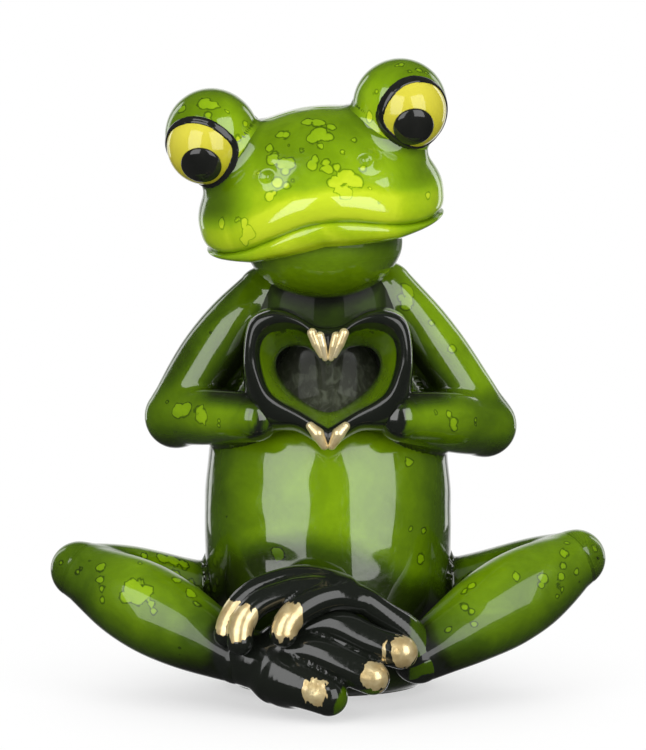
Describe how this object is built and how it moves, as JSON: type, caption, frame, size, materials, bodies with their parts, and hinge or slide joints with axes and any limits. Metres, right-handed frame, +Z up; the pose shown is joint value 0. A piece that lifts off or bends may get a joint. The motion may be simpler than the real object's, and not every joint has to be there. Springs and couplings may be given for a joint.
{
  "type": "frog figurine",
  "caption": "Seated cross-legged frog ornament with raised eyes and hands joined in a heart in front of the chest.",
  "frame": {"origin": "on the ground, under the middle of the figurine's bounding box", "axes": "+Z up, the frog faces -Y, +X to the viewer's right and the frog's left"},
  "size_m": [0.0742, 0.0414, 0.085],
  "materials": {
    "green_glaze": "glossy clear-coated paint over cast resin",
    "head_glaze": "glossy clear-coated paint over cast resin",
    "hand_glaze": "glossy paint fading from green to black",
    "foot_glaze": "glossy black paint with green in the creases",
    "eye_yellow": "glossy yellow paint",
    "black_paint": "glossy black paint",
    "gold_paint": "brushed metallic gold paint with ragged edges"
  },
  "bodies": {
    "root": {"torso": "green_glaze", "throat": "green_glaze", "lower_jaw": "head_glaze", "skull": "head_glaze", "right_foot": "foot_glaze", "left_foot": "foot_glaze", "right_toe_caps": "gold_paint", "left_toe_caps": "gold_paint", "right_eyelid": "head_glaze", "right_eyeball": "eye_yellow", "right_eye_outline": "black_paint", "right_pupil": "black_paint", "right_arm": "green_glaze", "right_hand": "hand_glaze", "right_fingertips": "gold_paint", "right_thigh": "green_glaze", "right_shin": "green_glaze", "left_eyelid": "head_glaze", "left_eyeball": "eye_yellow", "left_eye_outline": "black_paint", "left_pupil": "black_paint", "left_arm": "green_glaze", "left_hand": "hand_glaze", "left_fingertips": "gold_paint", "left_thigh": "green_glaze", "left_shin": "green_glaze"}
  },
  "joints": []
}
